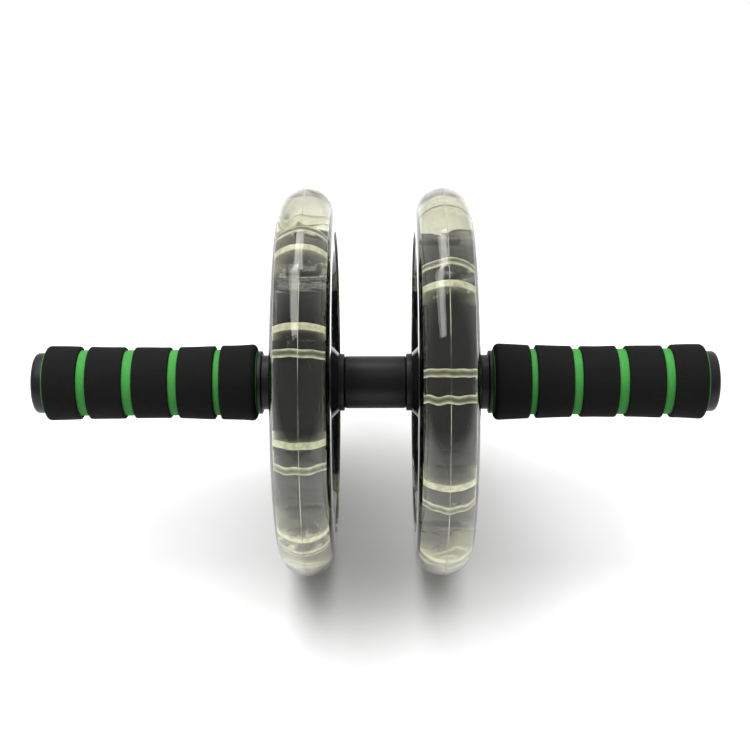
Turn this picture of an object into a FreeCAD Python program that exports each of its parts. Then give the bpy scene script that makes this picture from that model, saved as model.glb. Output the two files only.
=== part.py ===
# Double-wheel ab roller: a steel axle, two wheels with clear hollow tyres, a spacer and two foam handles.
# Millimetres, +Z up. The axle lies along X. The origin is on the floor, midway between the wheels.
import FreeCAD, Part
import math
import os

import Sketcher

doc = FreeCAD.newDocument("AbWheelRoller")

# Driving sizes: millimetres, degrees where the name says angle or phase, and counts
SIZES = (
    # Tyre: two clear shells bonded round the crown, hollow between pairs of plates
    ("wheel_diameter", 180.0),
    ("tyre_width", 25.4),
    ("tyre_depth", 20.0),
    ("tyre_wall", 2.7),
    ("crown_wall", 3.5),
    ("pocket_rise", 3.0),
    ("pocket_count", 11),
    ("plate_angle", 1.8),
    ("key_pocket_angle", 5.5),
    ("lug_height", 1.5),
    ("lug_length", 12.0),
    ("lug_play", 0.3),
    ("tyre_fit", 0.1),
    ("left_wheel_phase", 8.4),
    ("right_wheel_phase", 21.3),
    # Wheel core: two moulded cups, screwed together at the mid-plane
    ("rim_inset", 0.7),
    ("rim_wall", 4.0),
    ("rim_band", 8.0),
    ("dish_depth", 3.2),
    ("core_wall", 3.0),
    ("core_edge_round", 0.8),
    ("spoke_count", 6),
    ("spoke_width", 7.0),
    ("spoke_height", 1.6),
    ("hub_width", 28.0),
    ("nose_margin", 0.05),
    ("hub_wall", 4.0),
    ("hub_step", 1.0),
    # Screws that clamp the two cups
    ("core_screw_count", 6),
    ("core_screw_circle", 92.0),
    ("core_screw_diameter", 4.0),
    ("core_screw_cover", 2.0),
    ("core_screw_head_diameter", 7.2),
    ("core_screw_head_height", 2.2),
    ("core_screw_recess", 0.4),
    ("core_boss_diameter", 11.0),
    ("pilot_spare", 0.8),
    # Flanged bushes, two in each hub
    ("bush_wall", 1.95),
    ("bush_barrel_length", 10.0),
    ("bush_lip", 3.35),
    ("bush_flange", 2.7),
    ("bush_fit", 0.03),
    ("bush_seat_gap", 0.3),
    ("bush_edge_round", 0.5),
    # Axle tube and the spacer that runs loose on it
    ("axle_diameter", 16.0),
    ("axle_wall", 1.5),
    ("running_fit", 0.05),
    ("sleeve_length", 28.0),
    ("sleeve_wall", 4.15),
    ("sleeve_edge_round", 0.6),
    ("end_play", 0.3),
    # Handle core: neck, flange and the tube under the foam
    ("neck_gap", 1.2),
    ("neck_length", 3.6),
    ("neck_rise", 1.7),
    ("handle_flange", 1.9),
    ("handle_flange_rise", 2.0),
    ("handle_edge_round", 0.4),
    ("handle_wall", 2.95),
    ("handle_fit", 0.05),
    ("end_wall", 3.0),
    # Foam grip: a sleeve with ground bands, waisted in the middle
    ("grip_length", 98.7),
    ("band_least", 1.5),
    ("grip_reveal", 0.5),
    ("groove_1", 2.8),
    ("groove_2", 3.9),
    ("groove_3", 4.4),
    ("groove_4", 4.2),
    ("last_band_trim", 1.2),
    ("grip_inner_diameter", 36.0),
    ("grip_waist_diameter", 33.2),
    ("grip_outer_diameter", 35.2),
    ("band_edge_round", 0.8),
    ("band_land", 0.25),
    ("grip_end_round", 2.6),
    # End cap, pushed into a socket in the handle core
    ("cap_inset", 1.0),
    ("cap_length", 5.2),
    ("cap_edge_round", 1.8),
    ("cap_wall", 2.0),
    ("cap_socket_wall", 2.5),
    ("cap_socket_depth", 6.0),
    ("cap_fit", 0.05),
    # Plug, washer and screw that hold each handle on the axle
    ("plug_length", 22.0),
    ("plug_fit", 0.03),
    ("screw_diameter", 5.0),
    ("screw_length", 18.0),
    ("screw_head_diameter", 9.0),
    ("screw_head_height", 2.8),
    ("screw_fit", 0.1),
    ("drive_slot", 1.2),
    ("drive_span", 4.4),
    ("drive_depth", 1.4),
    ("washer_play", 0.45),
    ("washer_thickness", 1.2),
)

BAND_COUNT = 5
SAME_POINT = 1e-6  # two sketch points nearer than this are one
SAME_RIM = 1e-4  # an edge nearer than this to a named rim is that rim
SIDES = (("left", -1), ("right", 1))
ALONG = FreeCAD.Vector(1, 0, 0)
UP = FreeCAD.Vector(0, 0, 1)

sheet = doc.addObject("Spreadsheet::Sheet", "Sizes")
for row, (alias, number) in enumerate(SIZES, start=1):
    sheet.set(f"A{row}", alias)
    sheet.set(f"B{row}", str(number))
    sheet.setAlias(f"B{row}", alias)
doc.recompute()

# Stations along the axle, measured outwards from the middle of the spacer
HUB_NOSE = "(Sizes.sleeve_length / 2 + Sizes.end_play + Sizes.bush_flange)"
WHEEL_PLANE = f"({HUB_NOSE} + Sizes.hub_width / 2)"
HUB_FAR_NOSE = f"({HUB_NOSE} + Sizes.hub_width)"
NECK_FACE = f"({HUB_FAR_NOSE} + Sizes.bush_flange + Sizes.neck_gap)"
GRIP_START = f"({NECK_FACE} + Sizes.neck_length + Sizes.handle_flange)"
GRIP_END = f"({GRIP_START} + Sizes.grip_length)"
SOCKET_FLOOR = f"({GRIP_END} - Sizes.cap_socket_depth)"
AXLE_END = f"({SOCKET_FLOOR} - Sizes.end_wall)"

# Radii that several pieces share
TREAD = "(Sizes.wheel_diameter / 2)"
TYRE_SEAT = f"({TREAD} - Sizes.tyre_depth)"
RIM = f"({TYRE_SEAT} - Sizes.tyre_fit)"
AXLE = "(Sizes.axle_diameter / 2)"
AXLE_BORE = "(Sizes.axle_diameter / 2 - Sizes.axle_wall)"
RUNNING_BORE = f"({AXLE} + Sizes.running_fit)"
BUSH_BARREL = f"({RUNNING_BORE} + Sizes.bush_wall)"
BUSH_FLANGE = f"({BUSH_BARREL} + Sizes.bush_lip)"
HANDLE_BORE = f"({AXLE} + Sizes.handle_fit)"
HANDLE_TUBE = f"({HANDLE_BORE} + Sizes.handle_wall)"
GRIP_LEAST = "(min(Sizes.grip_inner_diameter; Sizes.grip_waist_diameter; Sizes.grip_outer_diameter) / 2)"
GRIP_SLEEVE = f"({GRIP_LEAST} - Sizes.band_least)"
CAP_SOCKET = f"({HANDLE_TUBE} - Sizes.cap_socket_wall)"
CAP_SPIGOT = f"({CAP_SOCKET} - Sizes.cap_fit)"
CAP_HOLLOW = f"({CAP_SPIGOT} - Sizes.cap_wall)"
SCREW = "(Sizes.screw_diameter / 2)"
SCREW_HOLE = f"({SCREW} + Sizes.screw_fit)"
CORE_HEAD = "(Sizes.core_screw_head_diameter / 2)"
SCREW_CIRCLE = "(Sizes.core_screw_circle / 2)"

# Places in a wheel core, measured outwards from the wheel's mid-plane, and the screws' angle from a spoke
RIM_EDGE = "(Sizes.tyre_width / 2 - Sizes.rim_inset)"
DISH_FACE = f"({RIM_EDGE} - Sizes.dish_depth)"
WEB_BACK = f"({DISH_FACE} - Sizes.core_wall)"
HEAD_SEAT = f"({DISH_FACE} - Sizes.core_screw_head_height - Sizes.core_screw_recess)"
CORE_SCREW_LENGTH = f"({HEAD_SEAT} + {DISH_FACE} - Sizes.core_screw_cover)"
SCREW_ANGLE = "180 / Sizes.core_screw_count"


def measure(expression):
    """The number that an expression on the sheet comes to."""
    return float(sheet.evalExpression(expression))


def origin_feature(body, role):
    """The body's own origin plane or axis of that role."""
    return next(feature for feature in body.Origin.OriginFeatures if feature.Role == role)


def outline_sketch(body, name, points, angle="0", lift="0"):
    """A closed outline through (along, out) expressions, on a plane through the axle.

    The plane is turned by an angle about the axle, and out is measured from the lift.
    A point with a third entry, the along of an arc's centre, is reached by an arc.
    """
    sketch = body.newObject("Sketcher::SketchObject", name)
    sketch.AttachmentSupport = [(origin_feature(body, "XZ_Plane"), "")]
    sketch.MapMode = "FlatFace"
    tilt = FreeCAD.Rotation(ALONG, measure(angle))
    raised = tilt.multVec(FreeCAD.Vector(0, measure(lift), 0))
    sketch.AttachmentOffset = FreeCAD.Placement(raised, tilt)
    spots = [FreeCAD.Vector(measure(point[0]), measure(point[1]), 0) for point in points]
    for index, point in enumerate(points):
        start = spots[index - 1]
        end = spots[index]
        if len(point) == 3:
            sketch.addGeometry(arc_between(start, end, measure(point[2])))
        else:
            sketch.addGeometry(Part.LineSegment(start, end))
    count = len(points)
    for index, point in enumerate(points):
        here = end_vertex(sketch, index, spots[index])
        after = (index + 1) % count
        there = 3 - end_vertex(sketch, after, spots[after])
        sketch.addConstraint(Sketcher.Constraint("Coincident", index, here, after, there))
        bind(sketch, Sketcher.Constraint("DistanceX", -1, 1, index, here, spots[index].x), point[0])
        bind(sketch, Sketcher.Constraint("DistanceY", -1, 1, index, here, spots[index].y), point[1])
        if len(point) == 3:
            centre = sketch.Geometry[index].Center
            bind(sketch, Sketcher.Constraint("DistanceX", -1, 1, index, 3, centre.x), point[2])
    return sketch


def arc_between(start, end, centre_along):
    """The lesser arc from start to end whose centre has that along coordinate."""
    middle = (start + end) / 2
    chord = end - start
    rise = (middle.x - centre_along) * chord.x / chord.y
    centre = FreeCAD.Vector(centre_along, middle.y + rise, 0)
    circle = Part.Circle(centre, UP, (start - centre).Length)
    first = math.atan2(start.y - centre.y, start.x - centre.x)
    last = math.atan2(end.y - centre.y, end.x - centre.x)
    if (last - first) % math.tau > math.pi:
        first, last = last, first
    return Part.ArcOfCircle(circle, first, last)


def end_vertex(sketch, index, spot):
    """Which end of that edge, 1 or 2, lies on the spot: an arc may run backwards."""
    return 2 if sketch.getPoint(index, 2).distanceToPoint(spot) < SAME_POINT else 1


def bind(sketch, constraint, expression):
    """Adds a dimension that follows its expression."""
    number = sketch.addConstraint(constraint)
    sketch.setExpression(f"Constraints[{number}]", expression)


def feature_on(body, kind, name, sketch):
    """A feature of that kind from the sketch, about or along the axle where it turns."""
    feature = body.newObject(f"PartDesign::{kind}", name)
    feature.Profile = sketch
    if kind in ("Revolution", "Groove"):
        feature.ReferenceAxis = (sketch, ["H_Axis"])
    return feature


def turned(label, points):
    """A body with its outline turned a full circle about the axle."""
    body = doc.addObject("PartDesign::Body", label)
    body.Label = label
    sketch = outline_sketch(body, f"{label}_outline", points)
    feature_on(body, "Revolution", f"{label}_turn", sketch).Angle = 360
    doc.recompute()
    return body


def ring_of(body, kind, name, points, count, span="360", angle="0", lift="0"):
    """Adds or cuts a turned outline, or a sector of one, repeated evenly round the axle.

    It turns about the axle, or with a lift about its own line, parallel to the axle.
    """
    before = body.Shape.Volume
    sketch = outline_sketch(body, f"{name}_outline", points, angle, lift)
    feature = feature_on(body, kind, name, sketch)
    feature.Midplane = True
    feature.setExpression("Angle", span)
    around(body, [feature], f"{name}_ring", count)
    if (body.Shape.Volume > before) != (kind == "Revolution"):
        raise RuntimeError(f"{name} did not change {body.Label} the right way")


def around(body, features, name, count):
    """Repeats features evenly round the axle."""
    ring = body.newObject("PartDesign::PolarPattern", name)
    ring.Originals = features
    ring.Axis = (origin_feature(body, "X_Axis"), [""])
    ring.Angle = 360
    ring.setExpression("Occurrences", count)
    body.Tip = ring
    doc.recompute()


def round_rims(body, name, rims, radius):
    """Rounds the circular edges that lie at the given (along, out) places."""
    base = body.Tip
    places = [(measure(along), measure(out)) for along, out in rims]
    edges = []
    for number, edge in enumerate(base.Shape.Edges, start=1):
        if isinstance(edge.Curve, Part.Circle):
            here = (edge.Curve.Center.x, edge.Curve.Radius)
            if any(math.dist(here, place) < SAME_RIM for place in places):
                edges.append(f"Edge{number}")
    fillet = body.newObject("PartDesign::Fillet", name)
    fillet.Base = (base, edges)
    fillet.setExpression("Radius", radius)
    doc.recompute()


def place(body, side, along, outward=True, phase=0.0):
    """Sets a body on the axle line, facing outwards or inwards on its side, turned by a phase."""
    facing = FreeCAD.Rotation(UP, 0 if (side > 0) == outward else 180)
    spin = FreeCAD.Rotation(ALONG, phase)
    body.Placement = FreeCAD.Placement(FreeCAD.Vector(), spin.multiply(facing))
    body.setExpression("Placement.Base.x", f"{side} * {along}")
    body.setExpression("Placement.Base.z", TREAD)


def mirrored(half):
    """A closed outline from its outward half, a list that runs from the bore to the rim."""
    return half + [(f"-{along}", out) for along, out in reversed(half)]


def axle_tube():
    """The steel tube that everything sits on."""
    ends = [(AXLE_END, AXLE_BORE), (AXLE_END, AXLE)]
    place(turned("axle_tube", mirrored(ends)), 1, "0")


def centre_sleeve():
    """The spacer tube, loose on the axle between the hubs."""
    end = "(Sizes.sleeve_length / 2)"
    skin = f"({RUNNING_BORE} + Sizes.sleeve_wall)"
    body = turned("centre_sleeve", mirrored([(end, RUNNING_BORE), (end, skin)]))
    round_rims(body, "sleeve_edges", [(end, skin), (f"-{end}", skin)], "Sizes.sleeve_edge_round")
    place(body, 1, "0")


def core_half(side_name, side, half_name, phase):
    """One cup of the wheel core: hub, dished web, raised spokes, rim and drive lugs.

    The inner cup takes the screws' heads and the outer cup their threads.
    """
    label = f"{side_name}_core_{half_name}_half"
    nose = "(Sizes.hub_width / 2)"
    nose_radius = f"({BUSH_FLANGE} + Sizes.nose_margin)"
    seat_floor = f"({nose} - Sizes.bush_barrel_length - Sizes.bush_seat_gap)"
    bush_bore = f"({BUSH_BARREL} + Sizes.bush_fit)"
    step_bore = f"({BUSH_BARREL} - Sizes.hub_step)"
    hub_skin = f"({bush_bore} + Sizes.hub_wall)"
    rim_inside = f"({RIM} - Sizes.rim_wall)"
    flare_root = f"({nose_radius} + {nose} - {DISH_FACE})"
    band_root = f"({RIM} - Sizes.rim_band)"
    body = turned(label, [
        ("0", step_bore),
        (seat_floor, step_bore),
        (seat_floor, bush_bore),
        (nose, bush_bore),
        (nose, nose_radius),
        (DISH_FACE, flare_root),
        (DISH_FACE, f"({band_root} - Sizes.dish_depth)"),
        (RIM_EDGE, band_root),
        (RIM_EDGE, RIM),
        ("0", RIM),
        ("0", rim_inside),
        (WEB_BACK, rim_inside),
        (WEB_BACK, hub_skin),
        ("0", hub_skin),
    ])
    round_rims(body, f"{label}_edges", [(RIM_EDGE, band_root), (RIM_EDGE, RIM)], "Sizes.core_edge_round")

    # Spokes stand on the dish from the hub's flare to the rim's band
    spoke_back = f"({DISH_FACE} - Sizes.core_wall / 2)"
    spoke_front = f"({DISH_FACE} + Sizes.spoke_height)"
    spoke = [
        (spoke_back, nose_radius),
        (spoke_back, band_root),
        (spoke_front, band_root),
        (spoke_front, nose_radius),
    ]
    sketch = outline_sketch(body, f"{label}_spoke_outline", spoke)
    bar = feature_on(body, "Pad", f"{label}_spoke", sketch)
    bar.SideType = "Symmetric"
    bar.setExpression("Length", "Sizes.spoke_width")
    around(body, [bar], f"{label}_spokes", "Sizes.spoke_count")

    # Lugs key the rim into the tyre's short pockets, with play on both sides
    lug_end = "(Sizes.lug_length / 2)"
    lug_root = f"({RIM} - Sizes.rim_wall / 2)"
    lug_tip = f"({RIM} + Sizes.lug_height)"
    lug = [("0", lug_root), (lug_end, lug_root), (lug_end, lug_tip), ("0", lug_tip)]
    lug_span = f"Sizes.key_pocket_angle - 2 * Sizes.lug_play / {RIM} * 180 / pi"
    ring_of(body, "Revolution", f"{label}_lug", lug, "Sizes.pocket_count", lug_span)

    # Bosses reach the mid-plane, so that the screws pull the two cups face to face
    boss = "(Sizes.core_boss_diameter / 2)"
    boss_post = [("0", "0"), ("0", boss), (spoke_back, boss), (spoke_back, "0")]
    on_circle = {"count": "Sizes.core_screw_count", "angle": SCREW_ANGLE, "lift": SCREW_CIRCLE}
    ring_of(body, "Revolution", f"{label}_boss", boss_post, **on_circle)
    shank = "(Sizes.core_screw_diameter / 2 + Sizes.screw_fit)"
    past = "-Sizes.core_wall"
    if half_name == "inner":
        head = f"({CORE_HEAD} + Sizes.core_screw_recess)"
        over = f"({DISH_FACE} + Sizes.core_wall)"
        hole = [(past, "0"), (past, shank), (HEAD_SEAT, shank), (HEAD_SEAT, head), (over, head), (over, "0")]
    else:
        pilot_end = f"({CORE_SCREW_LENGTH} - {HEAD_SEAT} + Sizes.pilot_spare)"
        hole = [(past, "0"), (past, shank), (pilot_end, shank), (pilot_end, "0")]
    ring_of(body, "Groove", f"{label}_hole", hole, **on_circle)
    place(body, side, WHEEL_PLANE, outward=half_name == "outer", phase=phase)


def core_screws(side_name, side, phase):
    """The ring of screws that clamps a wheel's two cups, heads towards the other wheel."""
    sizes = {
        "shank": "(Sizes.core_screw_diameter / 2)",
        "length": CORE_SCREW_LENGTH,
        "head": CORE_HEAD,
        "height": "Sizes.core_screw_head_height",
    }
    body = screw(f"{side_name}_core_screws", sizes, HEAD_SEAT, SCREW_CIRCLE, SCREW_ANGLE)
    body.AllowCompound = True
    steps = [step for step in body.Group if step.isDerivedFrom("PartDesign::Feature")]
    around(body, steps, f"{side_name}_core_screws_ring", "Sizes.core_screw_count")
    place(body, side, WHEEL_PLANE, outward=False, phase=phase)


def tyre_half(side_name, side, half_name, phase):
    """One clear shell, from the seam out to the side wall, with its long and short air pockets."""
    label = f"{side_name}_tyre_{half_name}_half"
    wall_face = "(Sizes.tyre_width / 2)"
    shoulder = f"({TREAD} - {wall_face})"
    body = turned(label, [
        ("0", TYRE_SEAT),
        (wall_face, TYRE_SEAT),
        (wall_face, shoulder),
        ("0", TREAD, "0"),
    ])
    # A pocket is open at the seam and at the seat, with straight walls under an arched roof
    past = "-Sizes.tyre_wall"
    below = f"({TYRE_SEAT} - Sizes.tyre_wall)"
    inside = f"({wall_face} - Sizes.tyre_wall)"
    spring = f"({shoulder} + Sizes.pocket_rise)"
    crown = f"({TREAD} - Sizes.crown_wall)"
    pocket = [(past, below), (inside, below), (inside, spring), ("0", crown, "0"), (past, crown)]
    span = "360 / Sizes.pocket_count - Sizes.key_pocket_angle - 2 * Sizes.plate_angle"
    between = "180 / Sizes.pocket_count"
    ring_of(body, "Groove", f"{label}_pocket", pocket, "Sizes.pocket_count", span, between)

    # A short pocket between two plates takes each lug of the core
    ring_of(body, "Groove", f"{label}_key", pocket, "Sizes.pocket_count", "Sizes.key_pocket_angle")
    place(body, side, WHEEL_PLANE, outward=half_name == "outer", phase=phase)


def bush(side_name, side, half_name):
    """A flanged bush: the barrel is pressed into the hub and the flange bears on the hub's nose."""
    label = f"{side_name}_{half_name}_bush"
    body = turned(label, [
        ("-Sizes.bush_barrel_length", RUNNING_BORE),
        ("-Sizes.bush_barrel_length", BUSH_BARREL),
        ("0", BUSH_BARREL),
        ("0", BUSH_FLANGE),
        ("Sizes.bush_flange", BUSH_FLANGE),
        ("Sizes.bush_flange", RUNNING_BORE),
    ])
    round_rims(body, f"{label}_edge", [("Sizes.bush_flange", BUSH_FLANGE)], "Sizes.bush_edge_round")
    outer = half_name == "outer"
    place(body, side, HUB_FAR_NOSE if outer else HUB_NOSE, outward=outer)


def handle_core(side_name, side):
    """Neck and flange beside the wheel, the tube under the foam, and the wall that the screw pulls on."""
    label = f"{side_name}_handle_core"
    neck = f"({HANDLE_TUBE} + Sizes.neck_rise)"
    flange = f"({neck} + Sizes.handle_flange_rise)"
    flange_face = "(Sizes.neck_length + Sizes.handle_flange)"
    tube_end = f"({flange_face} + Sizes.grip_length)"
    socket_floor = f"({tube_end} - Sizes.cap_socket_depth)"
    axle_stop = f"({socket_floor} - Sizes.end_wall)"
    body = turned(label, [
        ("0", HANDLE_BORE),
        ("0", neck),
        ("Sizes.neck_length", neck),
        ("Sizes.neck_length", flange),
        (flange_face, flange),
        (flange_face, HANDLE_TUBE),
        (tube_end, HANDLE_TUBE),
        (tube_end, CAP_SOCKET),
        (socket_floor, CAP_SOCKET),
        (socket_floor, SCREW_HOLE),
        (axle_stop, SCREW_HOLE),
        (axle_stop, HANDLE_BORE),
    ])
    rims = [("0", neck), ("Sizes.neck_length", flange)]
    round_rims(body, f"{label}_edges", rims, "Sizes.handle_edge_round")
    place(body, side, NECK_FACE)


def grip_sleeve(side_name, side):
    """The coloured foam tube from the handle's flange to the end cap."""
    label = f"{side_name}_grip_sleeve"
    end = "Sizes.grip_length"
    ring = [("0", HANDLE_TUBE), ("0", GRIP_SLEEVE), (end, GRIP_SLEEVE), (end, HANDLE_TUBE)]
    place(turned(label, ring), side, GRIP_START)


def waist_radius(along):
    """The ground radius at a place along the grip: a parabola on each side of the waist."""
    from_waist = f"(2 * ({along}) / Sizes.grip_length - 1)"
    end = f"({from_waist} < 0 ? Sizes.grip_inner_diameter : Sizes.grip_outer_diameter)"
    return f"((Sizes.grip_waist_diameter + ({end} - Sizes.grip_waist_diameter) * {from_waist}^2) / 2)"


def grip_band(side_name, side, number):
    """One dark foam band, bonded round the coloured sleeve between two grooves."""
    label = f"{side_name}_grip_band_{number}"
    grooves = [f"Sizes.groove_{count}" for count in range(1, BAND_COUNT)]
    foam = f"(Sizes.grip_length - 2 * Sizes.grip_reveal - {' - '.join(grooves)})"
    width = f"(({foam} + Sizes.last_band_trim) / {BAND_COUNT})"
    start = f"({' + '.join(['Sizes.grip_reveal', f'{number - 1} * {width}', *grooves[:number - 1]])})"
    end = f"({start} + {width})" if number < BAND_COUNT else "(Sizes.grip_length - Sizes.grip_reveal)"
    near = (start, waist_radius(start))
    far = (end, waist_radius(end))
    body = turned(label, [(start, GRIP_SLEEVE), near, far, (end, GRIP_SLEEVE)])
    for name, rim, outermost in (("near", near, 1), ("far", far, BAND_COUNT)):
        radius = "Sizes.grip_end_round" if number == outermost else "Sizes.band_edge_round"
        limit = f"({rim[1]} - {GRIP_SLEEVE} - Sizes.band_land)"
        round_rims(body, f"{label}_{name}_edge", [rim], f"min({radius}; {limit})")
    place(body, side, GRIP_START)


def end_cap(side_name, side):
    """The moulded cap: a rounded button with a hollow spigot in the handle's socket."""
    label = f"{side_name}_end_cap"
    button = f"({GRIP_SLEEVE} - Sizes.cap_inset)"
    spigot_end = "-(Sizes.cap_socket_depth - Sizes.end_play)"
    roof = "(Sizes.cap_length - Sizes.cap_wall)"
    body = turned(label, [
        (spigot_end, CAP_HOLLOW),
        (spigot_end, CAP_SPIGOT),
        ("0", CAP_SPIGOT),
        ("0", button),
        ("Sizes.cap_length", button),
        ("Sizes.cap_length", "0"),
        (roof, "0"),
        (roof, CAP_HOLLOW),
    ])
    round_rims(body, f"{label}_edge", [("Sizes.cap_length", button)], "Sizes.cap_edge_round")
    place(body, side, GRIP_END)


def axle_plug(side_name, side):
    """The plug in the axle's end that takes the screw."""
    skin = f"({AXLE_BORE} - Sizes.plug_fit)"
    inner = "-Sizes.plug_length"
    ring = [(inner, SCREW_HOLE), (inner, skin), ("0", skin), ("0", SCREW_HOLE)]
    place(turned(f"{side_name}_axle_plug", ring), side, AXLE_END)


def end_washer(side_name, side):
    """The washer on the floor of the handle's socket."""
    skin = f"({CAP_HOLLOW} - Sizes.washer_play)"
    face = "Sizes.washer_thickness"
    ring = [("0", SCREW_HOLE), ("0", skin), (face, skin), (face, SCREW_HOLE)]
    place(turned(f"{side_name}_end_washer", ring), side, SOCKET_FLOOR)


def screw(label, sizes, seat, lift="0", angle="0"):
    """A pan-head screw with a cross drive, its head's underside at the seat, parallel to the axle."""
    body = doc.addObject("PartDesign::Body", label)
    body.Label = label
    tip = f"({seat} - {sizes['length']})"
    top = f"({seat} + {sizes['height']})"
    floor = f"({top} - Sizes.drive_depth)"
    half_slot = "(Sizes.drive_slot / 2)"
    half_span = "(Sizes.drive_span / 2)"
    pin = [
        (tip, "0"),
        (tip, sizes["shank"]),
        (seat, sizes["shank"]),
        (seat, sizes["head"]),
        (top, sizes["head"]),
        (top, "0"),
    ]
    sketch = outline_sketch(body, f"{label}_outline", pin, angle, lift)
    feature_on(body, "Revolution", f"{label}_turn", sketch).Angle = 360
    doc.recompute()
    before = body.Shape.Volume
    for name, half_width, depth in (("upright", half_span, "drive_slot"), ("level", half_slot, "drive_span")):
        bar = [(floor, f"-{half_width}"), (floor, half_width), (top, half_width), (top, f"-{half_width}")]
        sketch = outline_sketch(body, f"{label}_{name}_outline", bar, angle, lift)
        slot = feature_on(body, "Pocket", f"{label}_{name}_slot", sketch)
        slot.SideType = "Symmetric"
        slot.setExpression("Length", f"Sizes.{depth}")
    doc.recompute()
    if body.Shape.Volume >= before:
        raise RuntimeError(f"{label} has no drive")
    return body


def end_screw(side_name, side):
    """The screw through the washer and the handle's wall into the plug."""
    sizes = {
        "shank": SCREW,
        "length": "Sizes.screw_length",
        "head": "(Sizes.screw_head_diameter / 2)",
        "height": "Sizes.screw_head_height",
    }
    body = screw(f"{side_name}_end_screw", sizes, "0")
    place(body, side, f"({SOCKET_FLOOR} + Sizes.washer_thickness)")


def check_and_write():
    """Stops on any failed object or shape, then writes one file for each piece."""
    doc.recompute()
    for piece in doc.Objects:
        if {"Invalid", "Error"} & set(piece.State):
            raise RuntimeError(f"{piece.Label} is {piece.State}")
    bodies = [piece for piece in doc.Objects if piece.TypeId == "PartDesign::Body"]
    for body in bodies:
        solids = sheet.get("core_screw_count") if body.Label.endswith("_core_screws") else 1
        if body.Shape.isNull() or not body.Shape.isValid() or len(body.Shape.Solids) != solids:
            raise RuntimeError(f"{body.Label} has no sound solid")
    os.makedirs("parts", exist_ok=True)
    for body in bodies:
        body.Shape.exportStep(f"parts/{body.Label}.step")
        print(f"{body.Label}: {body.Shape.Volume / 1000:.2f} cm3")


axle_tube()
centre_sleeve()
for side_name, side in SIDES:
    phase = sheet.get(f"{side_name}_wheel_phase")
    for half_name in ("inner", "outer"):
        core_half(side_name, side, half_name, phase)
        tyre_half(side_name, side, half_name, phase)
        bush(side_name, side, half_name)
    core_screws(side_name, side, phase)
    handle_core(side_name, side)
    grip_sleeve(side_name, side)
    for number in range(1, BAND_COUNT + 1):
        grip_band(side_name, side, number)
    end_cap(side_name, side)
    axle_plug(side_name, side)
    end_washer(side_name, side)
    end_screw(side_name, side)
check_and_write()
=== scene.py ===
# Double-wheel ab roller: pieces, finishes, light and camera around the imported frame
import math

import bmesh
import bpy
import numpy as np
from mathutils import Matrix, Vector


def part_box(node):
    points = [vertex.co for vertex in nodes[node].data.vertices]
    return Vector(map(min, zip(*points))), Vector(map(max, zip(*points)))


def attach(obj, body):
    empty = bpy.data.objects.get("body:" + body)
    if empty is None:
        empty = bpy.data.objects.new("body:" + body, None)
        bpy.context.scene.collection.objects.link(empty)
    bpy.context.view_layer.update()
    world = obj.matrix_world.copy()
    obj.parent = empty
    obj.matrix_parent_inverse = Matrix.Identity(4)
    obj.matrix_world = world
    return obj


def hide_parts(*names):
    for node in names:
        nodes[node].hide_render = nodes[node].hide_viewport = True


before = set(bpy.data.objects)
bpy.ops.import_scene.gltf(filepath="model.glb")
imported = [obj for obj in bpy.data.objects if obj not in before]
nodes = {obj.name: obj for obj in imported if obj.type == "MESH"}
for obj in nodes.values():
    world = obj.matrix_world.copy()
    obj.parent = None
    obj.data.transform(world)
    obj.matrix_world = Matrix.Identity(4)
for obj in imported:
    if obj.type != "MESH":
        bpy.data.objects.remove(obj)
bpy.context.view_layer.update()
sides = (("left", -1), ("right", 1))
mm = 0.001


def reach(node, sign=1):  # near and far station outwards along the axle, and the radius, in millimetres
    low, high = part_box(node)
    near, far = sorted((sign * low.x / mm, sign * high.x / mm))
    return near, far, (high.z - low.z) / 2 / mm


axleHeight = (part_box("axle_tube")[0].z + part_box("axle_tube")[1].z) / 2 / mm
print("frame loaded,", len(nodes), "nodes")


class Wire:  # one socket in a material's tree; arithmetic on it adds Math nodes
    def __init__(self, tree, socket=None):
        self.tree = tree
        self.socket = socket

    def node(self, kind, settings=None, values=None, out=0):
        made = self.tree.nodes.new(kind)
        for key, value in (settings or {}).items():
            setattr(made, key, value)
        for key, value in (values or {}).items():
            if isinstance(value, Wire):
                self.tree.links.new(value.socket, made.inputs[key])
            else:
                made.inputs[key].default_value = value
        return Wire(self.tree, made.outputs[out])

    def math(self, operation, first, second):
        return self.node("ShaderNodeMath", {"operation": operation}, {0: first, 1: second})

    def __add__(self, other):
        return self.math("ADD", self, other)

    def __radd__(self, other):
        return self.math("ADD", other, self)

    def __sub__(self, other):
        return self.math("SUBTRACT", self, other)

    def __rsub__(self, other):
        return self.math("SUBTRACT", other, self)

    def __mul__(self, other):
        return self.math("MULTIPLY", self, other)

    def __rmul__(self, other):
        return self.math("MULTIPLY", other, self)


def newMaterial(name, constants):
    # a shader with its fixed sockets set, and a wire to start its tree from
    material = bpy.data.materials.new(name)
    material.use_nodes = True
    shader = material.node_tree.nodes["Principled BSDF"]
    for key, value in constants.items():
        shader.inputs[key].default_value = value
    return material, shader, Wire(material.node_tree)


def feed(wire, shader, key):
    wire.tree.links.new(wire.socket, shader.inputs[key])


def noise(start, coords, scale, detail=3.0):
    return start.node("ShaderNodeTexNoise", None, {"Vector": coords, "Scale": scale, "Detail": detail})


def stretched(start, coords, scale):
    return start.node("ShaderNodeMapping", None, {"Vector": coords, "Scale": scale})


def blendColours(start, amount, first, second):
    return start.node("ShaderNodeMix", {"data_type": "RGBA"}, {0: amount, 6: first, 7: second}, 2)


def bump(start, height, strength, depth):
    values = {"Strength": strength, "Distance": depth, "Height": height}
    return start.node("ShaderNodeBump", None, values)


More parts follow.
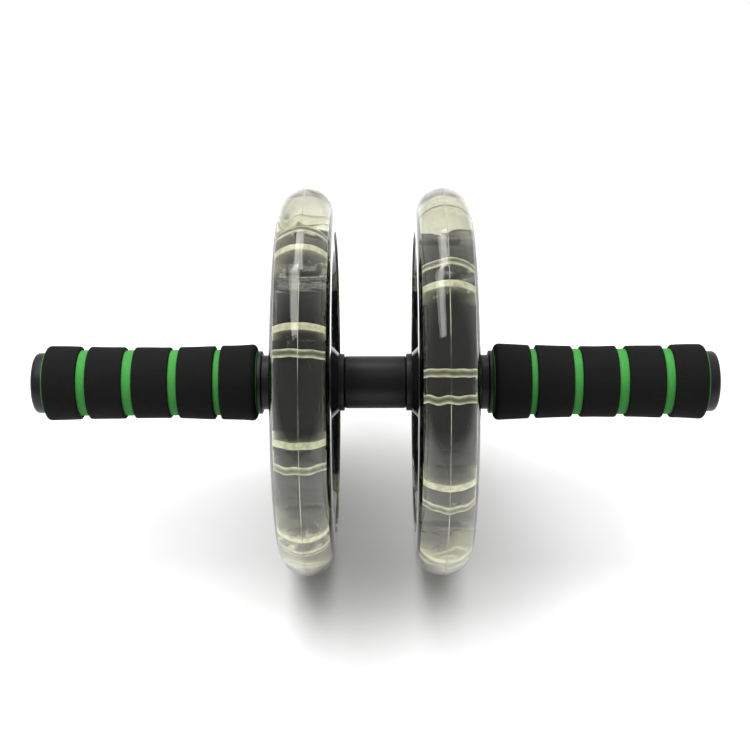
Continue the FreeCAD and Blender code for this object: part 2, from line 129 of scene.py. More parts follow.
# Black moulded plastic: trim is satin, the wheel cores are glossy with faint lines round the rim
trimLook = {
    "base": (0.007, 0.007, 0.008, 1), "worn": (0.014, 0.014, 0.015, 1), "cloudShare": 0.5, "lineShare": 0.3,
    "rough": 0.36, "spread": 0.12, "ior": 1.5, "gloss": 0.26, "cloud": 45.0,
    "grain": 1800.0, "grainDepth": 0.00003, "lines": 500.0, "lineStretch": 4.0, "lineDepth": 0.000006,
}
coreLook = trimLook | {
    "base": (0.006, 0.007, 0.009, 1), "worn": (0.013, 0.015, 0.018, 1), "rough": 0.05, "spread": 0.04,
    "gloss": 0.5, "grainDepth": 0.0000005, "lines": 260.0, "lineDepth": 0.0000015,
}


def mouldedPlastic(name, look):
    material, shader, start = newMaterial(name, {"IOR": look["ior"], "Specular IOR Level": look["gloss"]})
    coords = start.node("ShaderNodeTexCoord", out=3)
    cloud = noise(start, coords, look["cloud"])
    grain = noise(start, coords, look["grain"], 2.0)
    stretch = (look["lines"], look["lineStretch"], look["lineStretch"])
    lines = noise(start, stretched(start, coords, stretch), 1.0, 2.0)
    wear = cloud * look["cloudShare"] + lines * look["lineShare"]
    feed(blendColours(start, wear, look["base"], look["worn"]), shader, "Base Color")
    feed(look["rough"] + (cloud - 0.5) * look["spread"], shader, "Roughness")
    relief = grain * (look["grainDepth"] / mm) + lines * (look["lineDepth"] / mm)
    feed(bump(start, relief, 1.0, mm), shader, "Normal")
    return material


steelLook = {
    "dark": (0.52, 0.53, 0.55, 1), "light": (0.78, 0.78, 0.8, 1), "rough": 0.1, "spread": 0.14,
    "lines": (2600, 30, 30),
}


def brightSteel():
    material, shader, start = newMaterial("brightSteel", {"Metallic": 1.0})
    coords = start.node("ShaderNodeTexCoord", out=3)
    lines = noise(start, stretched(start, coords, steelLook["lines"]), 1.0, 2.0)
    feed(blendColours(start, lines, steelLook["dark"], steelLook["light"]), shader, "Base Color")
    feed(steelLook["rough"] + lines * steelLook["spread"], shader, "Roughness")
    return material


# Foam: fine cells with soft patches of colour
foamLook = {
    "cells": 1500.0, "patches": 130.0, "fine": 800.0, "patchShare": 0.6, "cellShare": 0.6,
    "rough": 0.7, "spread": 0.2, "ior": 1.4, "relief": 0.45, "depth": 0.0003,
}
greenLook = foamLook | {"deep": (0.031, 0.17, 0.032, 1), "lit": (0.058, 0.296, 0.06, 1), "gloss": 0.15}
blackLook = foamLook | {
    "deep": (0.0045, 0.0045, 0.0045, 1), "lit": (0.0105, 0.0105, 0.0102, 1), "gloss": 0.12,
}


def foam(name, look):
    material, shader, start = newMaterial(name, {"IOR": look["ior"], "Specular IOR Level": look["gloss"]})
    coords = start.node("ShaderNodeTexCoord", out=3)
    cells = start.node("ShaderNodeTexVoronoi", None, {"Vector": coords, "Scale": look["cells"]})
    patches = noise(start, coords, look["patches"])
    fine = noise(start, coords, look["fine"])
    shade = patches * look["patchShare"] + fine * (1 - look["patchShare"])
    feed(blendColours(start, shade, look["deep"], look["lit"]), shader, "Base Color")
    feed(look["rough"] + patches * look["spread"], shader, "Roughness")
    feed(bump(start, cells * look["cellShare"] + fine, look["relief"], look["depth"]), shader, "Normal")
    return material


# Clear tyre plastic, and the clouding of its plates and seam: milky colour with a painted glow standing in
# for light carried through the plastic
clearLook = {"ior": 1.49, "haze": 0.012, "hazeScale": 60.0, "tint": (0.6, 0.6, 0.24, 1), "density": 44.0}
# the plates' and seam's cloud emits its own colour at the strength set last in this table: a painted glow,
# not a lamp
plateLook = {
    "deep": (0.80, 0.84, 0.46, 1), "lit": (0.97, 0.98, 0.80, 1), "rough": 0.5, "smear": 420.0,
    "least": 0.3, "most": 1.1, "paintedGlow": 0.55,
}


def clearPlastic(name, cloudedAndGlowing=False):
    # clear, faintly yellow plastic; where the piece's "edge" attribute is high it is clouded milky and
    # glows in the cloud's colour, a painted glow
    material, shader, start = newMaterial(name, {
        "Base Color": (1, 1, 1, 1), "Transmission Weight": 1.0, "IOR": clearLook["ior"],
    })
    coords = start.node("ShaderNodeTexCoord", out=3)
    feed(noise(start, coords, clearLook["hazeScale"]) * clearLook["haze"], shader, "Roughness")
    absorb = start.node("ShaderNodeVolumeAbsorption", None, {
        "Color": clearLook["tint"], "Density": clearLook["density"],
    })
    output = material.node_tree.nodes["Material Output"]
    material.node_tree.links.new(absorb.socket, output.inputs["Volume"])
    if cloudedAndGlowing:
        smears = noise(start, coords, plateLook["smear"])
        milkAndGlowColour = blendColours(start, smears, plateLook["deep"], plateLook["lit"])
        # the cloud shader is milky and also emits its colour: a painted glow
        cloud = start.node("ShaderNodeBsdfPrincipled", None, {
            "Base Color": milkAndGlowColour, "Roughness": plateLook["rough"],
            "Emission Color": milkAndGlowColour, "Emission Strength": plateLook["paintedGlow"],
        })
        edge = start.node("ShaderNodeAttribute", {"attribute_name": "edge"}, out=2)
        amount = edge * (plateLook["least"] + smears * (plateLook["most"] - plateLook["least"]))
        clear = Wire(material.node_tree, shader.outputs[0])
        mixed = start.node("ShaderNodeMixShader", None, {0: amount, 1: clear, 2: cloud})
        material.node_tree.links.new(mixed.socket, output.inputs["Surface"])
    return material


coreFinish = mouldedPlastic("corePlastic", coreLook)
trimFinish = mouldedPlastic("trimPlastic", trimLook)
steelFinish = brightSteel()
greenFinish = foam("greenFoam", greenLook)
blackFinish = foam("blackFoam", blackLook)
clearFinish = clearPlastic("clearTyre")
plateFinish = clearPlastic("clearPlatePaintedGlow", cloudedAndGlowing=True)
print("finishes made")


def patch(points, closed=(True, True)):
    # a grid of points (rows, columns, 3) as quads; a closed way joins its last line to its first
    rows, columns = points.shape[:2]
    index = np.arange(rows * columns).reshape(rows, columns)
    index = np.concatenate([index, index[:1]], 0) if closed[0] else index
    index = np.concatenate([index, index[:, :1]], 1) if closed[1] else index
    corners = (index[:-1, :-1], index[:-1, 1:], index[1:, 1:], index[1:, :-1])
    return points.reshape(-1, 3), np.stack([corner.ravel() for corner in corners], 1)


def facedOut(points, quads):
    # turns the quads round where the volume that they enclose comes out negative
    first, second, third, fourth = (points[quads[:, corner]] for corner in range(4))
    volume = (np.cross(first, second) * third + np.cross(first, third) * fourth).sum()
    return (points, quads) if volume > 0 else (points, quads[:, ::-1])


def buildPiece(name, patches, body, material, stands=(), crease=38.0, edge=None):
    # joins closed patches into one mesh, welds its poles, and sets it riding in place of CAD nodes
    # edge holds a value from 0 to 1 for each point, which the piece's material reads as the amount of milky
    # cloud and painted glow
    patches = [facedOut(*one) for one in patches]
    starts = np.cumsum([0] + [len(points) for points, quads in patches])
    allPoints = np.concatenate([points for points, quads in patches])
    allQuads = np.concatenate([quads + start for (points, quads), start in zip(patches, starts)])
    mesh = bpy.data.meshes.new(name)
    mesh.from_pydata(allPoints * mm, [], allQuads.tolist())
    if edge is not None:
        mesh.attributes.new("edge", "FLOAT", "POINT").data.foreach_set("value", edge.astype(np.float32))
    welded = bmesh.new()
    welded.from_mesh(mesh)
    bmesh.ops.remove_doubles(welded, verts=welded.verts, dist=1e-7)
    welded.to_mesh(mesh)
    welded.free()
    mesh.polygons.foreach_set("use_smooth", np.ones(len(mesh.polygons), bool))
    mesh.set_sharp_from_angle(angle=math.radians(crease))
    mesh.materials.append(material)
    piece = bpy.data.objects.new(name, mesh)
    bpy.context.scene.collection.objects.link(piece)
    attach(piece, body)
    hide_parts(*stands)
    return piece


def roundAxle(along, out, turn):
    # along is x, and a turn from the top towards the camera gives y = -out sin(turn)
    # and z = axle + out cos(turn)
    along, out, turn = np.broadcast_arrays(along, out, turn)
    return np.stack([along, -out * np.sin(turn), axleHeight + out * np.cos(turn)], -1)


def fullTurn(steps):
    return np.linspace(0, math.tau, steps, endpoint=False)


def roundedOutline(corners, steps=7):
    # a closed outline whose corners (along, out, radius) become arcs tangent to both sides
    corners = np.array(corners, float)
    spot, radius = corners[:, :2], corners[:, 2:]
    before, after = np.roll(spot, 1, 0) - spot, np.roll(spot, -1, 0) - spot
    before /= np.linalg.norm(before, axis=1, keepdims=True)
    after /= np.linalg.norm(after, axis=1, keepdims=True)
    half = np.arccos((before * after).sum(1, keepdims=True)) / 2
    middle = before + after
    centre = spot + middle / np.linalg.norm(middle, axis=1, keepdims=True) * radius / np.sin(half)
    first, last = spot + before * radius / np.tan(half), spot + after * radius / np.tan(half)
    sweep = (math.pi - 2 * half)[:, None]
    share = np.linspace(0, 1, steps)[None, :, None]
    arms = (first - centre)[:, None] * np.sin((1 - share) * sweep)
    arms = arms + (last - centre)[:, None] * np.sin(share * sweep)
    return (centre[:, None] + arms / np.sin(sweep)).reshape(-1, 2)


def turnedPiece(name, sign, corners, body, material, stands, steps=192):
    # an outline in stations outwards along the axle and radii, turned a full circle
    along, out = roundedOutline(corners).T
    points = roundAxle(sign * along[:, None], out[:, None], fullTurn(steps))
    return buildPiece(name, [patch(points)], body, material, stands)


def smoothStep(value):
    value = np.clip(value, 0, 1)
    return value * value * (3 - 2 * value)


def ripple(seed, *ways, waves=6):
    # a gentle seeded wobble between about -1 and 1: a sum of sines along mixed directions
    dice = np.random.default_rng(seed)
    total = 0
    for count in range(waves):
        pulls = dice.uniform(-1, 1, len(ways))
        mixed = sum(pull * way for pull, way in zip(pulls, ways))
        total = total + np.sin(mixed + dice.uniform(0, math.tau))
    return total / math.sqrt(waves)


print("tools ready")

# Tyre: a hollow clear ring, D-shaped in section and open at the seat, with a fine bead on its crown
tyreShape = {
    "crown": 90.0, "seat": 70.05, "half": 12.7, "wall": 2.7, "crownWall": 3.5, "rise": 3.9,
    "footRound": 0.15, "beadHeight": 0.1, "beadWidth": 0.24, "beadMilkAndGlow": 0.28, "beadWaves": 14.0,
    "sink": 0.05, "sinkAcross": 0.7, "sinkRound": 20, "around": 360,
}
# Plates: pairs of D-shaped partitions in the ring, a pair beside each lug of the core; their cloud carries
# a painted glow, strongest in the milky kind
plateShape = {
    "pairs": 11, "apart": 7.3, "gap": 0.06, "root": 0.4, "bareFoot": 1.0, "waves": 0.9,
    "thick": (3.4, 3.0), "fill": (0.12, 0.95), "fade": (0.0, 0.2), "wobble": (0.42, 0.1),  # glassy, milky
}
# Which plate of each pair is milky, its fill carrying the strong painted glow: 0 the first, 1 the second, 2
# neither
milkyPlates = {"left": (1, 0, 0, 0, 1, 1, 0, 2, 0, 1, 0), "right": (1, 2, 0, 0, 1, 0, 1, 0, 2, 1, 0)}
wheelPhase = {"left": 8.4, "right": 21.3}  # degrees that each wheel is turned at rest


def vaultLine(shape, gap=0.0):
    # up one straight wall, over an arc through the roof that meets both walls, and down the other wall
    room = shape["half"] - shape["wall"] - gap
    spring = shape["crown"] - shape["half"] + shape["rise"]
    rise = shape["crown"] - shape["crownWall"] - gap - spring
    radius = (room ** 2 + rise ** 2) / (2 * rise)
    sweep = np.linspace(-1, 1, 49) * math.asin(room / radius)
    climb = np.linspace(shape["seat"], spring, 7)[:-1]
    along = np.concatenate([0 * climb - room, radius * np.sin(sweep), 0 * climb + room])
    out = np.concatenate([climb, spring + rise - radius * (1 - np.cos(sweep)), climb[::-1]])
    return along, out


def tyreOutline(shape):
    # up one outer wall, over the crown, down the other wall, then back under the vault
    # the crown is lower than the tyre's full radius by the bead's height
    half, seat, foot = shape["half"], shape["seat"], shape["footRound"]
    shoulder = shape["crown"] - half
    bend = np.linspace(-math.pi / 2, 0, 5)
    footAlong, footOut = half - foot + foot * np.cos(bend), seat + foot + foot * np.sin(bend)
    wallOut = np.linspace(seat + foot, shoulder, 4)[1:]
    lean = np.linspace(math.pi / 2, 0, 44)[1:]
    crownAlong = half * np.sin(lean)
    crownOut = shoulder + (half - shape["beadHeight"]) * np.cos(lean)
    along = np.concatenate([footAlong, half + 0 * wallOut, crownAlong])
    out = np.concatenate([footOut, wallOut, crownOut])
    vaultAlong, vaultOut = vaultLine(shape)
    inside = np.concatenate([np.zeros(2 * len(along) - 1), np.ones(len(vaultAlong))])
    along = np.concatenate([along, -along[-2::-1], vaultAlong])
    out = np.concatenate([out, out[-2::-1], vaultOut])
    return along, out, inside


def tyrePatch(middle, shape, seed):
    # the outline turned about the axle; its inner face carries a faint moulding sink
    along, out, inside = tyreOutline(shape)
    turn = fullTurn(shape["around"])[:, None]
    across, upward = shape["sinkRound"] * np.cos(turn), shape["sinkRound"] * np.sin(turn)
    sink = ripple(seed, along * shape["sinkAcross"], across, upward) * shape["sink"]
    return patch(roundAxle(middle + along, out + sink * inside, turn))


def seamPatch(middle, shape, seed):
    # an oval carried round the crown, half of it proud of the tyre
    # its cloud, milky with a painted glow that stands in for light catching the seam, comes and goes round
    # the wheel
    bend, turn = fullTurn(10), fullTurn(shape["around"])[:, None]
    lift = shape["crown"] - shape["beadHeight"] * (1 - np.sin(bend))
    waves = shape["beadWaves"] * np.cos(turn), shape["beadWaves"] * np.sin(turn)
    cloud = shape["beadMilkAndGlow"] * smoothStep(0.5 + ripple(seed, *waves)) + 0 * lift
    return patch(roundAxle(middle + shape["beadWidth"] / 2 * np.cos(bend), lift, turn)), cloud.ravel()


def platePatches(middle, phase, tyre, shape, milky, seed):
    # each plate runs from the middle of its front (share 0) over its flat edge (share 1) to the back
    # outline, fill and fade give the cloud of those rows, which is milky colour with a painted glow; the
    # outline rows paint a bright line round the plate's edge, a painted edge highlight
    along, out = vaultLine(tyre, shape["gap"])
    foot = np.linspace(along[-1], along[0], 11)
    edgeAlong = np.concatenate([along, foot])
    edgeOut = np.concatenate([out, 0 * foot + tyre["seat"] - shape["root"]])
    share = np.array([0, 0.3, 0.6, 0.8, 0.9, 0.95, 0.97, 0.99, 1.0, 1.0, 1.0])
    swell = np.array([1, 1, 1, 1, 1, 1, 1, 0.96, 0.85, 0.45, 0])
    outline = np.array([0, 0, 0, 0, 0, 0.1, 0.8, 1, 1, 0.25, 0])
    fill = np.array([0, 0, 0, 0, 0, 0, 0, 0, 0, 0.75, 1])
    fade = np.array([0, 0, 0.1, 0.4, 0.8, 1, 0.4, 0, 0, 0, 0])
    share = np.concatenate([share, share[-2::-1]])[:, None]
    depth = np.concatenate([swell, -swell[-2::-1]])[:, None] / 2
    centre = (tyre["seat"] + tyre["crown"] - tyre["half"]) / 2
    along, out = edgeAlong * share, centre + (edgeOut - centre) * share
    made, clouds = [], []
    for index in range(2 * shape["pairs"]):
        second = index % 2
        kind = int(milky[index // 2] == second)
        apart = shape["apart"] / 2 * (1 if second else -1)
        turn = math.radians(phase + 360 / shape["pairs"] * (index // 2) + apart)
        ways = along * shape["waves"], out * shape["waves"]
        waves = ripple(seed + index, *ways) * shape["wobble"][kind]
        bulk = depth * shape["thick"][kind] + waves
        made.append(patch(roundAxle(middle + along, out, turn + bulk / out), (False, True)))
        cloud = outline + fill * shape["fill"][kind] + fade * shape["fade"][kind]
        aboveFoot = edgeOut > tyre["seat"] + shape["bareFoot"]
        cloud = np.concatenate([cloud, cloud[-2::-1]])[:, None] * aboveFoot
        clouds.append(np.clip(cloud, 0, 1).ravel())
    return made, np.concatenate(clouds)


for side, sign in sides:
    halves = (f"{side}_tyre_inner_half", f"{side}_tyre_outer_half")
    near, far, _ = zip(*(reach(half, sign) for half in halves))
    middle = sign * (min(near) + max(far)) / 2
    seed = 11 if sign < 0 else 47
    wheel = f"{side}_wheel"
    ring = tyrePatch(middle, tyreShape, seed)
    buildPiece(f"{side}_tyre", [ring], wheel, clearFinish, halves)
    plates, cloud = platePatches(middle, wheelPhase[side], tyreShape, plateShape, milkyPlates[side], seed)
    buildPiece(f"{side}_tyre_plates", plates, wheel, plateFinish, halves, edge=cloud)
    seam, cloud = seamPatch(middle, tyreShape, seed)
    buildPiece(f"{side}_tyre_seam", [seam], wheel, plateFinish, halves, edge=cloud)
print("tyres made")

# Wheel core: one grid from the bore over each dished face to the rim, with spokes, screw recesses and lugs
# Spokes and screws stand by turns in twelve blocks of the grid
coreShape = {
    "bore": 10.0, "nose": 14.0, "noseRadius": 13.4, "dish": 8.8, "dishOuter": 58.7, "bandRoot": 61.9,
    "rim": 69.98, "rimEdge": 12.0, "edgeRound": 0.3, "spokeHalf": 3.5, "spokeHeight": 1.6,
    "screwCircle": 46.0, "recess": 4.05, "recessDepth": 2.6,
    "blocks": 12, "block": 7.0, "blockMost": 0.27, "edgeAt": 0.835, "edgeSoft": 0.075,
    "lugs": 11, "lugHalf": 6.0, "lugAngle": 2.52, "lugHeight": 1.5, "lugRound": 0.6, "lugRoot": 0.5,
}


def coreLadder():
    # steps across a spoke or a screw block from -1 to 1, close together where its edge falls
    steps = np.array([0, 0.4, 0.7, 0.76, 0.785, 0.81, 0.835, 0.86, 0.885, 0.91, 1.0])
    return np.concatenate([-steps[:0:-1], steps])


def coreStations(shape):
    # rows of one face from the bore to the rim's middle: station, radius, and place in the screw block or 2
    ladder = coreLadder()
    coneRun = shape["nose"] - shape["dish"]
    spokeTop = shape["dish"] + shape["spokeHeight"]
    flare = shape["noseRadius"] + coneRun
    screw, block = shape["screwCircle"], shape["block"]
    bend = np.linspace(0, math.pi / 2, 6)
    roundOff = shape["edgeRound"] * (1 - np.cos(bend)), shape["edgeRound"] * (1 - np.sin(bend))
    rows = [(shape["nose"], shape["bore"]), (shape["nose"], shape["noseRadius"])]
    rows += [(spokeTop + coneRun * 0.2, shape["noseRadius"] + shape["nose"] - spokeTop - coneRun * 0.2)]
    rows += [(spokeTop, shape["noseRadius"] + shape["nose"] - spokeTop), (shape["dish"], flare)]
    rows += [(shape["dish"], out) for out in np.linspace(flare, screw - block, 6)[1:-1]]
    plain = len(rows)
    rows += [(shape["dish"], screw + block * step) for step in ladder]
    rows += [(shape["dish"], out) for out in np.linspace(screw + block, shape["dishOuter"], 4)[1:]]
    rows += [(spokeTop, shape["dishOuter"] + shape["spokeHeight"]), (shape["rimEdge"], shape["bandRoot"])]
    band = shape["rim"] - shape["bandRoot"]
    rows += [(shape["rimEdge"], shape["bandRoot"] + share * band) for share in (0.3, 0.7)]
    rows += list(zip(shape["rimEdge"] - roundOff[0], shape["rim"] - roundOff[1]))
    rows += [(along, shape["rim"]) for along in (8.0, 4.0, 0.0)]
    blockPlace = np.full(len(rows), 2.0)
    blockPlace[plain:plain + len(ladder)] = ladder
    return (*np.array(rows).T, blockPlace)


def corePatch(plane, sign, phase, shape):
    # a grid round the axle whose columns keep to the edges of spokes and recesses
    ladder = coreLadder()
    rows = coreStations(shape)
    along, out, blockPlace = (np.concatenate([row, row[-2::-1]])[:, None, None] for row in rows)
    count = len(along)
    inner = (np.arange(count) >= (count + 1) // 2)[:, None, None]
    blocks = np.arange(shape["blocks"])[None, :, None]
    spoke = blocks % 2 == 0
    onRim = out > (shape["bandRoot"] + shape["rim"]) / 2
    edgeAt, soft = shape["edgeAt"], shape["edgeSoft"]
    width = np.where(spoke, shape["spokeHalf"] / edgeAt, shape["block"])
    spread = np.arcsin(np.clip(width / out, 0, shape["blockMost"]))
    cross = ladder[None, None, :]
    blockTurn, blockOut = spread * cross, out + 0 * spread * cross
    blockAlong = along + 0 * blockTurn

    # concentric rings round each screw's centre take the place of the polar grid
    ring = np.maximum(np.abs(blockPlace), np.abs(cross))
    length = np.hypot(blockPlace, cross) + 1e-9
    hole = shape["recess"]
    radius = np.interp(ring, [0, 0.76, 0.785, 0.91, 1], [0, hole - 0.1, hole, hole + 0.3, 0])
    scale = np.where(ring < 1, radius / length, shape["block"])
    far, aside = shape["screwCircle"] + scale * blockPlace, scale * cross
    inBlock = (np.abs(blockPlace) <= 1) & ~spoke
    blockTurn = np.where(inBlock, np.arctan2(aside, far), blockTurn)
    blockOut = np.where(inBlock, np.hypot(far, aside), blockOut)
    sunk = shape["recessDepth"] * smoothStep((0.86 - ring) / soft)
    blockAlong = np.where(inBlock & inner, blockAlong - sunk, blockAlong)
    bar = smoothStep((edgeAt + soft - np.abs(cross)) / (2 * soft))
    raised = shape["dish"] + shape["spokeHeight"] * bar
    onFace = (out > shape["noseRadius"]) & ~onRim
    blockAlong = np.where(spoke & onFace, np.maximum(blockAlong, raised), blockAlong)

    # plain columns fill the space from one block's edge to the next
    share = np.linspace(0, 1, 7)[1:-1][None, None, :]
    pitch = math.tau / shape["blocks"]
    nextTurn = np.roll(blockTurn[..., :1], -1, 1) + pitch
    gapTurn = blockTurn[..., -1:] + (nextTurn - blockTurn[..., -1:]) * share
    gapOut = blockOut[..., -1:] + (np.roll(blockOut[..., :1], -1, 1) - blockOut[..., -1:]) * share
    turn = np.concatenate([blockTurn, gapTurn], 2) + pitch * blocks
    radii = np.concatenate([blockOut, gapOut], 2)
    stations = np.concatenate([blockAlong, along + 0 * gapTurn], 2) * np.where(inner, -1, 1)
    flat = [grid.reshape(count, -1) for grid in (stations, radii, turn)]
    return patch(roundAxle(sign * (plane + flat[0]), flat[1], flat[2] + math.radians(phase)))


def lugPatches(plane, sign, phase, shape):
    # a rounded rectangle shrunk by steps from the foot in the rim, up the walls and over the rounded top
    wide = shape["rim"] * math.radians(shape["lugAngle"])
    corner = shape["lugRound"]
    ends = ((-1, -1), (1, -1), (1, 1), (-1, 1))
    outline = roundedOutline([(shape["lugHalf"] * x, wide * y, corner) for x, y in ends])
    bend = np.linspace(0, math.pi / 2, 5)
    inset = np.concatenate([[wide, 0], corner * (1 - np.cos(bend)), [wide]])[:, None]
    top = shape["lugHeight"]
    lift = np.concatenate([[-shape["lugRoot"]] * 2, top - corner * (1 - np.sin(bend)), [top]])[:, None]
    along = outline[:, 0] * (1 - inset / wide)
    across = outline[:, 1] * (1 - inset / wide)
    turns = math.radians(phase) + fullTurn(shape["lugs"])
    out = shape["rim"] + lift
    spots = [roundAxle(sign * plane + along, out, turn + across / shape["rim"]) for turn in turns]
    return [patch(spot, (False, True)) for spot in spots]


for side, sign in sides:
    halves = (f"{side}_core_inner_half", f"{side}_core_outer_half")
    near, far, _ = zip(*(reach(half, sign) for half in halves))
    place = ((min(near) + max(far)) / 2, sign, wheelPhase[side], coreShape)
    patches = [corePatch(*place), *lugPatches(*place)]
    buildPiece(f"{side}_wheel_core", patches, f"{side}_wheel", coreFinish, halves, 25.0)
print("cores made")

# Axle, spacer, bushes, handle cores and caps: outlines turned about the axle
trimShape = {
    "axleBore": 6.5, "runningBore": 8.05, "spacerRound": 0.7, "spacerReach": 0.22,
    "bushBarrel": 10.0, "bushFlange": 2.7, "bushRound": 0.5,
    "neckLength": 3.6, "neck": 12.7, "neckRound": 0.5, "flange": 1.9, "tube": 11.0,
    "socket": 8.5, "socketDepth": 6.0, "capLength": 5.2, "capRound": 2.0, "spigot": 8.45,
}
near, far, skin = reach("axle_tube")
turnedPiece("axle", 1, [
    (near, trimShape["axleBore"], 0), (far, trimShape["axleBore"], 0),
    (far, skin, 0.3), (near, skin, 0.3),
], "handlebar", steelFinish, ["axle_tube"])
near, far, skin = reach("centre_sleeve")
near, far = near - trimShape["spacerReach"], far + trimShape["spacerReach"]
turnedPiece("spacer_tube", 1, [
    (near, trimShape["runningBore"], 0), (far, trimShape["runningBore"], 0),
    (far, skin, trimShape["spacerRound"]), (near, skin, trimShape["spacerRound"]),
], "spacer", trimFinish, ["centre_sleeve"])
for side, sign in sides:
    for half in ("inner", "outer"):
        near, far, lip = reach(f"{side}_{half}_bush", sign)
        outer = half == "outer"
        face, root = (far, near) if outer else (near, far)
        heel = face + trimShape["bushFlange"] * (-1 if outer else 1)
        turnedPiece(f"{side}_{half}_bushing", sign, [
            (root, trimShape["runningBore"], 0), (face, trimShape["runningBore"], 0.2),
            (face, lip, trimShape["bushRound"]), (heel, lip, 0.2),
            (heel, trimShape["bushBarrel"], 0), (root, trimShape["bushBarrel"], 0.3),
        ], f"{side}_wheel", trimFinish, [f"{side}_{half}_bush"])
    near, far, lip = reach(f"{side}_handle_core", sign)
    step, seat = near + trimShape["neckLength"], near + trimShape["neckLength"] + trimShape["flange"]
    socketFloor = far - trimShape["socketDepth"]
    turnedPiece(f"{side}_handle", sign, [
        (near, trimShape["runningBore"], 0), (near, trimShape["neck"], trimShape["neckRound"]),
        (step, trimShape["neck"], 0.3), (step, lip, trimShape["neckRound"]), (seat, lip, 0.3),
        (seat, trimShape["tube"], 0), (far, trimShape["tube"], 0), (far, trimShape["socket"], 0),
        (socketFloor, trimShape["socket"], 0), (socketFloor, trimShape["runningBore"], 0),
    ], "handlebar", trimFinish, [f"{side}_handle_core"])
    near, far, button = reach(f"{side}_end_cap", sign)
    rimFace = far - trimShape["capLength"]
    turnedPiece(f"{side}_cap", sign, [
        (near, 0, 0), (far, 0, 0), (far, button, trimShape["capRound"]), (rimFace, button, 0.3),
        (rimFace, trimShape["spigot"], 0), (near, trimShape["spigot"], 0.3),
    ], "handlebar", trimFinish, [f"{side}_end_cap"])
print("trim made")

# Foam grips: a green sleeve under five ground black bands
gripShape = {
    "inner": 18.0, "waist": 16.6, "outer": 17.6, "bandRound": 0.9, "endRound": 2.6, "lastRound": 2.2,
    "bands": 5, "bandWobble": 0.1, "sleeveWobble": 0.03, "wavesAlong": 0.35, "wavesRound": 9,
    "sleeveBulge": 0.25, "seam": 0.02, "tuck": 0.25,
}


def waistRadius(share, shape):  # the ground radius along the grip: a parabola on each side of the waist
    fromWaist = 2 * share - 1
    end = np.where(fromWaist < 0, shape["inner"], shape["outer"])
    return shape["waist"] + (end - shape["waist"]) * fromWaist ** 2


def foamRing(sign, along, out, bore, wobble, seed, shape):
    # an outer line along the grip, closed along its bore and carried round the axle, with a faint wobble
    turn = fullTurn(180)[:, None]
    across, upward = shape["wavesRound"] * np.cos(turn), shape["wavesRound"] * np.sin(turn)
    wave = ripple(seed, along * shape["wavesAlong"], across, upward) * wobble
    boreAlong = along[[-1, 0]] + 0 * turn
    stations = np.concatenate([along + 0 * turn, boreAlong], 1)
    radii = np.concatenate([out + wave, bore + 0 * boreAlong], 1)
    return patch(roundAxle(sign * stations, radii, turn))


def bandLine(near, far, start, length, rounds, shape):
    # stations close together at both ends, where the radius drops by a quarter round
    bend = 1 - np.cos(np.linspace(0, math.pi / 2, 9))
    middle = np.linspace(near + rounds[0], far - rounds[1], 24)[1:-1]
    along = np.concatenate([near + rounds[0] * bend, middle, far - rounds[1] * bend[::-1]])
    out = waistRadius((along - start) / length, shape)
    for edge, size in ((along - near, rounds[0]), (far - along, rounds[1])):
        out = out - size * (1 - np.sqrt(1 - np.clip(1 - edge / size, 0, 1) ** 2))
    return along, out


for side, sign in sides:
    start, end, sleeve = reach(f"{side}_grip_sleeve", sign)
    along = np.linspace(start + gripShape["tuck"], end, 260)
    numbers = range(1, gripShape["bands"] + 1)
    spans = [reach(f"{side}_grip_band_{number}", sign)[:2] for number in numbers]
    bulge = 0
    for (_, far), (nextNear, _) in zip(spans, spans[1:]):  # a low parabola in each groove
        groove = (along - (far + nextNear) / 2) / ((nextNear - far) / 2)
        bulge = bulge + np.clip(1 - groove ** 2, 0, 1)
    seed = 300 if sign < 0 else 400
    skin = sleeve + gripShape["sleeveBulge"] * bulge
    bore = trimShape["tube"] + gripShape["seam"]
    ring = foamRing(sign, along, skin, bore, gripShape["sleeveWobble"], seed, gripShape)
    piece = buildPiece(
        f"{side}_foam_sleeve", [ring], "handlebar", greenFinish, [f"{side}_grip_sleeve"],
    )
    for number, (near, far) in enumerate(spans, start=1):
        rounds = [gripShape["bandRound"]] * 2
        rounds[0] = gripShape["endRound"] if number == 1 else rounds[0]
        rounds[1] = gripShape["lastRound"] if number == gripShape["bands"] else rounds[1]
        along, out = bandLine(near, far, start, end - start, rounds, gripShape)
        bore = sleeve + gripShape["seam"]
        ring = foamRing(sign, along, out, bore, gripShape["bandWobble"], seed + number, gripShape)
        piece = buildPiece(
            f"{side}_foam_band_{number}", [ring], "handlebar", blackFinish,
            [f"{side}_grip_band_{number}"],
        )
print("grips made")

for name, node in nodes.items():
    node.data.materials.clear()
    node.data.materials.append(steelFinish if "screw" in name or "washer" in name else trimFinish)

# Stage: a plain pale floor, a key strip up on the left, a bank above and behind, and a ceiling lamp
floorLook = {"half": 6.0, "colour": (0.86, 0.86, 0.86, 1), "shade": (0.84, 0.84, 0.84, 1), "grain": 90.0}
floorMesh = bpy.data.meshes.new("floor")
half = floorLook["half"]
floorCorners = [(-half, -half, 0), (half, -half, 0), (half, half, 0), (-half, half, 0)]
floorMesh.from_pydata(floorCorners, [], [(0, 1, 2, 3)])
floor = bpy.data.objects.new("floor", floorMesh)
floorFinish, floorShader, floorWire = newMaterial("floorPaper", {"Roughness": 0.9})
paper = noise(floorWire, floorWire.node("ShaderNodeTexCoord", out=3), floorLook["grain"])
feed(blendColours(floorWire, paper, floorLook["colour"], floorLook["shade"]), floorShader, "Base Color")
floorMesh.materials.append(floorFinish)
bpy.context.scene.collection.objects.link(floor)

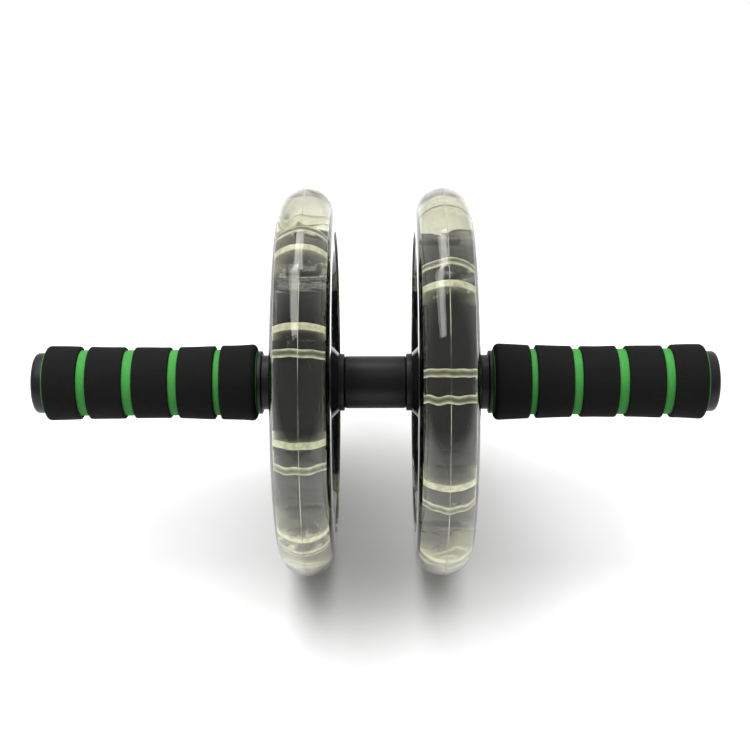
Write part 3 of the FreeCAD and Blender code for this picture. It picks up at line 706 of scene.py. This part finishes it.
room = {"front": 0.3, "back": 0.8, "from": -0.2, "to": 0.5}  # dim in front and bright behind
world = bpy.data.worlds.new("studio")
world.use_nodes = True
air = Wire(world.node_tree)
way = air.node("ShaderNodeSeparateXYZ", None, {0: air.node("ShaderNodeTexCoord")}, 1)
glow = air.node("ShaderNodeMapRange", {"interpolation_type": "SMOOTHSTEP"}, {
    "Value": way, "From Min": room["from"], "From Max": room["to"],
    "To Min": room["front"], "To Max": room["back"],
})
world.node_tree.nodes["Background"].inputs["Color"].default_value = (1, 1, 1, 1)
feed(glow, world.node_tree.nodes["Background"], "Strength")
bpy.context.scene.world = world

softboxes = {
    "keyStrip": {"place": (-0.19, -0.08, 0.66), "size": (0.2, 0.44), "glow": 4.0, "mirrored": True},
    "topBank": {"place": (-0.16, 0.62, 1.15), "size": (0.38, 0.72), "glow": 4.1, "mirrored": True},
    "ceiling": {"place": (0, -0.03, 0.85), "size": (1.05, 0.9), "glow": 3.7, "mirrored": False},
}
for lampName, box in softboxes.items():
    lamp = bpy.data.lights.new(lampName, "AREA")
    lamp.shape = "RECTANGLE"
    lamp.size, lamp.size_y = box["size"]
    lamp.energy = box["glow"] * math.pi * lamp.size * lamp.size_y
    lampObject = bpy.data.objects.new(lampName, lamp)
    lampObject.location = box["place"]
    lampObject.visible_glossy = box["mirrored"]
    lampObject.visible_transmission = box["mirrored"]
    bpy.context.scene.collection.objects.link(lampObject)

shot = {
    "elevation": 37.0, "azimuth": 0.3, "roll": -0.36, "aside": -0.15, "rise": 3.3, "distance": 0.65,
    "lens": 66.8, "sensor": 36.0,
}
tilt, swing = math.radians(shot["elevation"]), math.radians(shot["azimuth"])
level = Vector((-math.sin(swing), math.cos(swing), 0))
forward = level * math.cos(tilt) - Vector((0, 0, math.sin(tilt)))
upward = level * math.sin(tilt) + Vector((0, 0, math.cos(tilt)))
aim = Vector((shot["aside"] * mm, 0, axleHeight * mm)) + upward * shot["rise"] * mm
camera = bpy.data.objects.new("camera", bpy.data.cameras.new("camera"))
camera.data.lens = shot["lens"]
camera.data.sensor_width = shot["sensor"]
camera.data.clip_start = 0.01
facing = forward.to_track_quat("-Z", "Y").to_matrix().to_4x4()
facing = facing @ Matrix.Rotation(math.radians(shot["roll"]), 4, "Z")
camera.matrix_world = Matrix.Translation(aim - forward * shot["distance"]) @ facing
bpy.context.scene.collection.objects.link(camera)
bpy.context.scene.camera = camera
bpy.context.scene.view_settings.view_transform = "Standard"
print("stage set")
